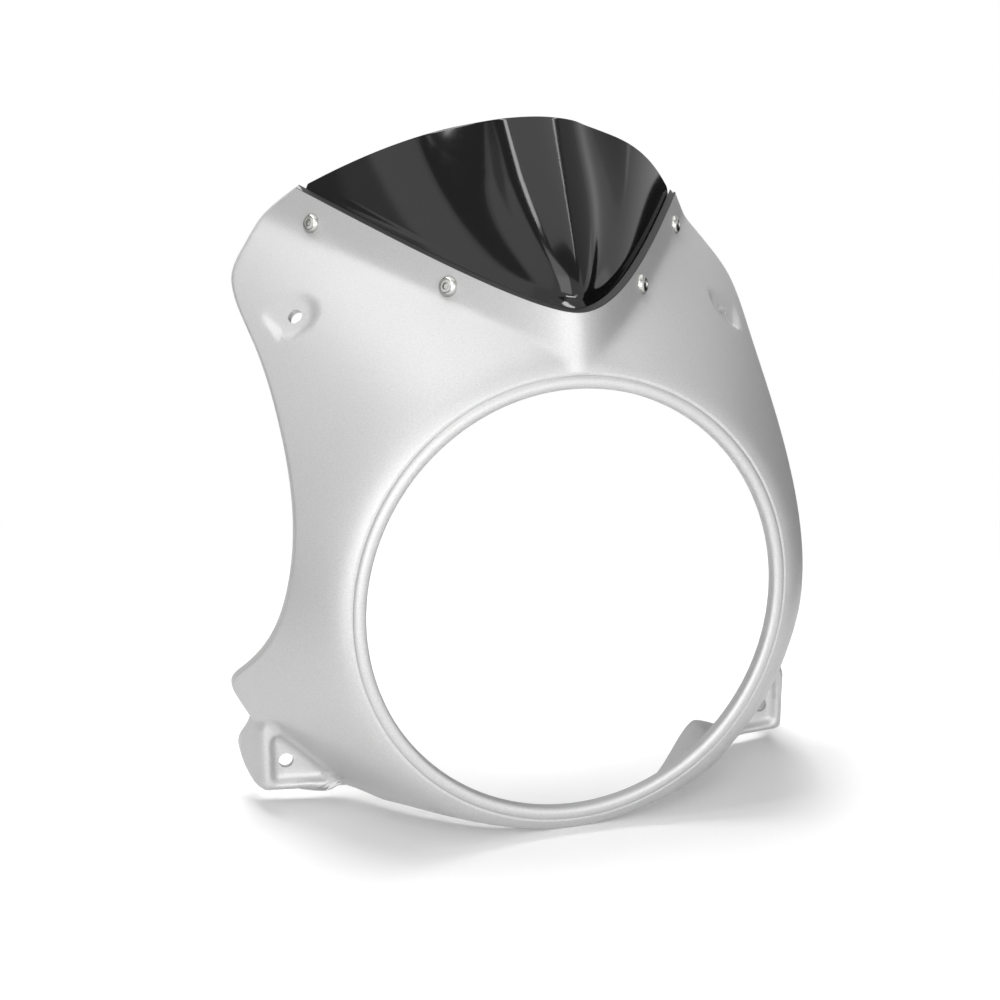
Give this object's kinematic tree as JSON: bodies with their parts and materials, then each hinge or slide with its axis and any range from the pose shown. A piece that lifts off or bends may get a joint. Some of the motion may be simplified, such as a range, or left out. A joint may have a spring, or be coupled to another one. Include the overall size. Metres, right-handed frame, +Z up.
{
  "type": "headlight cowl",
  "caption": "Moulded cowl that surrounds a round headlamp, with a swept dark screen bolted behind its V-shaped top edge.",
  "frame": {"origin": "centre of the round lamp opening, in the plane of the groove round it", "axes": "+Y along the lamp axis towards the back, +Z up, +X to the right seen from the front"},
  "size_m": [0.2848, 0.1482, 0.3108],
  "materials": {
    "satin_silver_paint": "satin silver paint on moulded plastic",
    "dark_gloss_sheet": "glossy, nearly black smoke tint",
    "bright_steel": "bright stainless steel",
    "natural_nylon": "plain nylon",
    "zinc_steel": "zinc plated"
  },
  "bodies": {
    "root": {"cowl_shell": "satin_silver_paint", "screen": "dark_gloss_sheet", "screen_screw_outer_left": "bright_steel", "screen_screw_inner_left": "bright_steel", "screen_screw_inner_right": "bright_steel", "screen_screw_outer_right": "bright_steel", "screen_washer_outer_left": "natural_nylon", "screen_washer_inner_left": "natural_nylon", "screen_washer_inner_right": "natural_nylon", "screen_washer_outer_right": "natural_nylon", "screen_nut_outer_left": "zinc_steel", "screen_nut_inner_left": "zinc_steel", "screen_nut_inner_right": "zinc_steel", "screen_nut_outer_right": "zinc_steel"}
  },
  "joints": []
}
